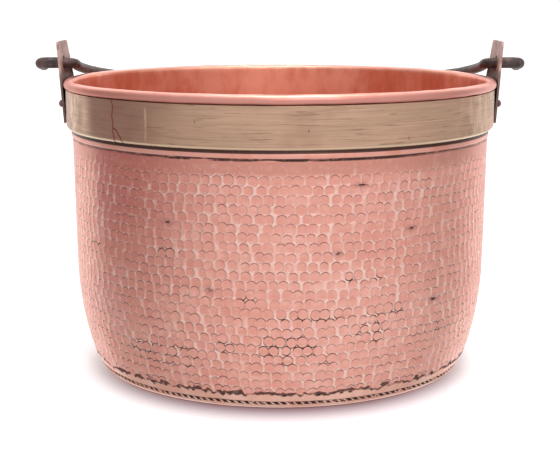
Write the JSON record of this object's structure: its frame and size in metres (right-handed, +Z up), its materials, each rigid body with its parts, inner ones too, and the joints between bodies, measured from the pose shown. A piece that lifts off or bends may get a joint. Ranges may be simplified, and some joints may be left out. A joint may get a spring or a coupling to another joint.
{
  "type": "cauldron",
  "caption": "Wide hammered copper cauldron with a rolled rim, a brass band, two riveted upright ears and a swinging iron bail.",
  "frame": {"origin": "centre of the flat bottom, on the surface the cauldron stands on", "axes": "+Z up, +X to the right towards one ear along the bail's axis, +Y to the back where the bail lies folded"},
  "size_m": [0.463, 0.4334, 0.303],
  "materials": {
    "hammered_copper": "hammered copper, satin",
    "pan_copper": "smooth worn copper",
    "band_brass": "brushed, dulled brass",
    "ear_copper": "browned copper plate",
    "rivet_copper": "browned copper",
    "bail_iron": "dark forged iron",
    "hidden_iron": "plain iron wire"
  },
  "bodies": {
    "vessel": {"vessel_wall": "hammered_copper", "rim_wire": "hidden_iron", "base_pan": "pan_copper", "brass_band": "band_brass", "ear_right": "ear_copper", "ear_left": "ear_copper", "ear_right_rivets": "rivet_copper", "ear_left_rivets": "rivet_copper"},
    "bail": {"bail": "bail_iron"}
  },
  "joints": [
    {"name": "bail_swing", "type": "hinge", "parent": "vessel", "child": "bail", "pos_m": [0, 0, 0.2826], "axis": [1, 0, 0], "range_deg": [0, 197.3]}
  ]
}
